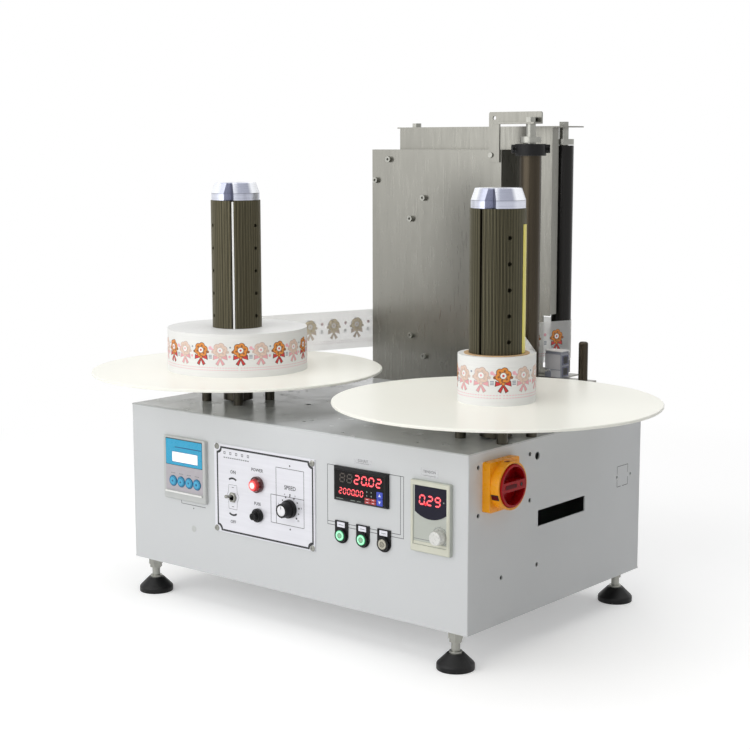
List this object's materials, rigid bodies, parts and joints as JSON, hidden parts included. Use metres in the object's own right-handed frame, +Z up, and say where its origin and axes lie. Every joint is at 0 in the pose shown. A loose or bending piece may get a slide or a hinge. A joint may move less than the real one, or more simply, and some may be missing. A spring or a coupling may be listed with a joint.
{
  "type": "motor driven label rewinder",
  "caption": "Bench machine that rewinds a strip of labels between two turntables with expanding mandrels, over guide rollers on a sheet-metal stand.",
  "frame": {"origin": "on the floor under the middle of the whole machine, halfway between the two turntable axes", "axes": "+Z up, +X along the front panel towards the isolator, +Y away from the operator"},
  "size_m": [0.9419, 0.641, 0.741],
  "materials": {
    "cabinet_paint": "satin powder coat",
    "cabinet_paint_side": "satin powder coat",
    "platter_cream": "gloss enamel",
    "dark_anodised": "dark anodised",
    "turned_aluminium": "bright turned",
    "stainless": "brushed",
    "steel_zinc": "zinc plated",
    "steel_dark": "blackened",
    "rubber_black": "matt",
    "roller_bronze": "dark anodised",
    "roller_black": "black anodised",
    "clamp_black": "black anodised",
    "label_paper": "coated paper",
    "core_cardboard": "matt",
    "plastic_grey": "satin",
    "plastic_black": "satin",
    "plastic_cream": "satin",
    "plastic_white": "satin",
    "keys_blue": "satin",
    "window_dark": "gloss",
    "lamp_red": "gloss",
    "button_green": "gloss",
    "button_silver": "satin",
    "isolator_yellow": "gloss",
    "isolator_red": "gloss",
    "plate_aluminium": "satin printed",
    "sensor_case": "satin",
    "motor_case": "painted",
    "board": "circuit board"
  },
  "bodies": {
    "machine": {"cabinet_front_panel": "cabinet_paint", "cabinet_left_panel": "cabinet_paint_side", "cabinet_right_panel": "cabinet_paint_side", "cabinet_top_plate": "cabinet_paint", "cabinet_bottom_plate": "cabinet_paint_side", "cabinet_back_panel": "cabinet_paint_side", "foot_pads": "rubber_black", "foot_stems": "steel_zinc", "machine_screws": "steel_zinc", "platter_supports": "steel_zinc", "label_web": "label_paper", "spindle_bearings": "steel_dark", "gearmotors": "motor_case", "roller_shafts": "turned_aluminium", "stand_front_cover": "stainless", "stand_rear_plate": "stainless", "top_bracket": "stainless", "label_sensor": "sensor_case", "sensor_bracket": "stainless", "guide_pin": "roller_bronze", "length_controller_case": "plastic_grey", "control_plate": "plate_aluminium", "toggle_body": "plastic_black", "pilot_lamp": "lamp_red", "fuse_holder": "plastic_black", "counter_case": "plastic_black", "display_windows": "window_dark", "button_bodies": "plastic_black", "tension_case": "plastic_cream", "isolator_base": "isolator_yellow", "mains_inlet": "plastic_black", "power_supply": "stainless", "motor_drive_board": "board"},
    "left_turntable": {"left_platter": "platter_cream", "left_spindle": "steel_dark", "left_label_roll": "label_paper"},
    "right_turntable": {"right_platter": "platter_cream", "right_spindle": "steel_dark", "right_label_roll": "label_paper", "right_roll_core": "core_cardboard"},
    "left_cap": {"left_expander": "turned_aluminium"},
    "right_cap": {"right_expander": "turned_aluminium"},
    "front_roller_body": {"front_roller": "roller_bronze", "edge_guide_ring": "clamp_black"},
    "rear_roller_left_body": {"rear_roller_left": "roller_black"},
    "rear_roller_right_body": {"rear_roller_right": "roller_black"},
    "toggle": {"toggle_lever": "steel_zinc"},
    "speed_knob_body": {"speed_knob": "plastic_black"},
    "tension_knob_body": {"tension_knob": "plastic_white"},
    "isolator": {"isolator_handle": "isolator_red"},
    "keypad": {"lcd_keys": "keys_blue"},
    "start": {"start_button": "button_green"},
    "run": {"run_button": "button_green"},
    "stop": {"stop_button": "button_silver"},
    "left_grip_1": {"left_segment_1": "dark_anodised"},
    "left_grip_2": {"left_segment_2": "dark_anodised"},
    "left_grip_3": {"left_segment_3": "dark_anodised"},
    "right_grip_1": {"right_segment_1": "dark_anodised"},
    "right_grip_2": {"right_segment_2": "dark_anodised"},
    "right_grip_3": {"right_segment_3": "dark_anodised"}
  },
  "joints": [
    {"name": "left_spin", "type": "hinge", "parent": "machine", "child": "left_turntable", "pos_m": [-0.246, -0.0955, 0.347], "axis": [0, 0, 1], "continuous": true},
    {"name": "left_cap_turn", "type": "hinge", "parent": "left_turntable", "child": "left_cap", "pos_m": [-0.246, -0.0955, 0.607], "axis": [0, 0, 1], "range_deg": [0, 60]},
    {"name": "left_grip_1_slide", "type": "slide", "parent": "left_turntable", "child": "left_grip_1", "axis": [0.9945, 0.1045, 0], "range_m": [-0.0016, 0]},
    {"name": "left_grip_2_slide", "type": "slide", "parent": "left_turntable", "child": "left_grip_2", "axis": [-0.5878, 0.809, 0], "range_m": [-0.0016, 0]},
    {"name": "left_grip_3_slide", "type": "slide", "parent": "left_turntable", "child": "left_grip_3", "axis": [-0.4067, -0.9135, 0], "range_m": [-0.0016, 0]},
    {"name": "right_spin", "type": "hinge", "parent": "machine", "child": "right_turntable", "pos_m": [0.246, -0.0955, 0.347], "axis": [0, 0, 1], "continuous": true},
    {"name": "right_cap_turn", "type": "hinge", "parent": "right_turntable", "child": "right_cap", "pos_m": [0.246, -0.0955, 0.607], "axis": [0, 0, 1], "range_deg": [0, 60]},
    {"name": "right_grip_1_slide", "type": "slide", "parent": "right_turntable", "child": "right_grip_1", "axis": [0.866, -0.5, 0], "range_m": [-0.0016, 0]},
    {"name": "right_grip_2_slide", "type": "slide", "parent": "right_turntable", "child": "right_grip_2", "axis": [0, 1, 0], "range_m": [-0.0016, 0]},
    {"name": "right_grip_3_slide", "type": "slide", "parent": "right_turntable", "child": "right_grip_3", "axis": [-0.866, -0.5, 0], "range_m": [-0.0016, 0]},
    {"name": "front_roller_spin", "type": "hinge", "parent": "machine", "child": "front_roller_body", "pos_m": [0.094, 0.2045, 0.453], "axis": [0, 0, 1], "continuous": true},
    {"name": "rear_roller_left_spin", "type": "hinge", "parent": "machine", "child": "rear_roller_left_body", "pos_m": [-0.2035, 0.3005, 0.453], "axis": [0, 0, 1], "continuous": true},
    {"name": "rear_roller_right_spin", "type": "hinge", "parent": "machine", "child": "rear_roller_right_body", "pos_m": [0.092, 0.3005, 0.453], "axis": [0, 0, 1], "continuous": true},
    {"name": "toggle_flip", "type": "hinge", "parent": "machine", "child": "toggle", "pos_m": [-0.1355, -0.2125, 0.1785], "axis": [1, 0, 0], "range_deg": [0, 18]},
    {"name": "speed_knob_turn", "type": "hinge", "parent": "machine", "child": "speed_knob_body", "pos_m": [-0.0215, -0.2195, 0.1785], "axis": [0, 1, 0], "range_deg": [-150, 150]},
    {"name": "tension_knob_turn", "type": "hinge", "parent": "machine", "child": "tension_knob_body", "pos_m": [0.2495, -0.2195, 0.1818], "axis": [0, 1, 0], "range_deg": [-150, 150]},
    {"name": "isolator_turn", "type": "hinge", "parent": "machine", "child": "isolator", "pos_m": [0.291, -0.1555, 0.248], "axis": [1, 0, 0], "range_deg": [0, 90]},
    {"name": "keypad_press", "type": "slide", "parent": "machine", "child": "keypad", "axis": [0, 1, 0], "range_m": [0, 0.0008], "stiffness_N_per_m": 400},
    {"name": "start_press", "type": "slide", "parent": "machine", "child": "start", "axis": [0, 1, 0], "range_m": [0, 0.0025], "stiffness_N_per_m": 250},
    {"name": "run_press", "type": "slide", "parent": "machine", "child": "run", "axis": [0, 1, 0], "range_m": [0, 0.0025], "stiffness_N_per_m": 250},
    {"name": "stop_press", "type": "slide", "parent": "machine", "child": "stop", "axis": [0, 1, 0], "range_m": [0, 0.0025], "stiffness_N_per_m": 250}
  ],
  "couplings": [
    {"joint": "left_grip_1_slide", "follows": "left_cap_turn", "m_per_rad": -0.0014324},
    {"joint": "left_grip_2_slide", "follows": "left_cap_turn", "m_per_rad": -0.0014324},
    {"joint": "left_grip_3_slide", "follows": "left_cap_turn", "m_per_rad": -0.0014324},
    {"joint": "right_grip_1_slide", "follows": "right_cap_turn", "m_per_rad": -0.0014324},
    {"joint": "right_grip_2_slide", "follows": "right_cap_turn", "m_per_rad": -0.0014324},
    {"joint": "right_grip_3_slide", "follows": "right_cap_turn", "m_per_rad": -0.0014324}
  ]
}
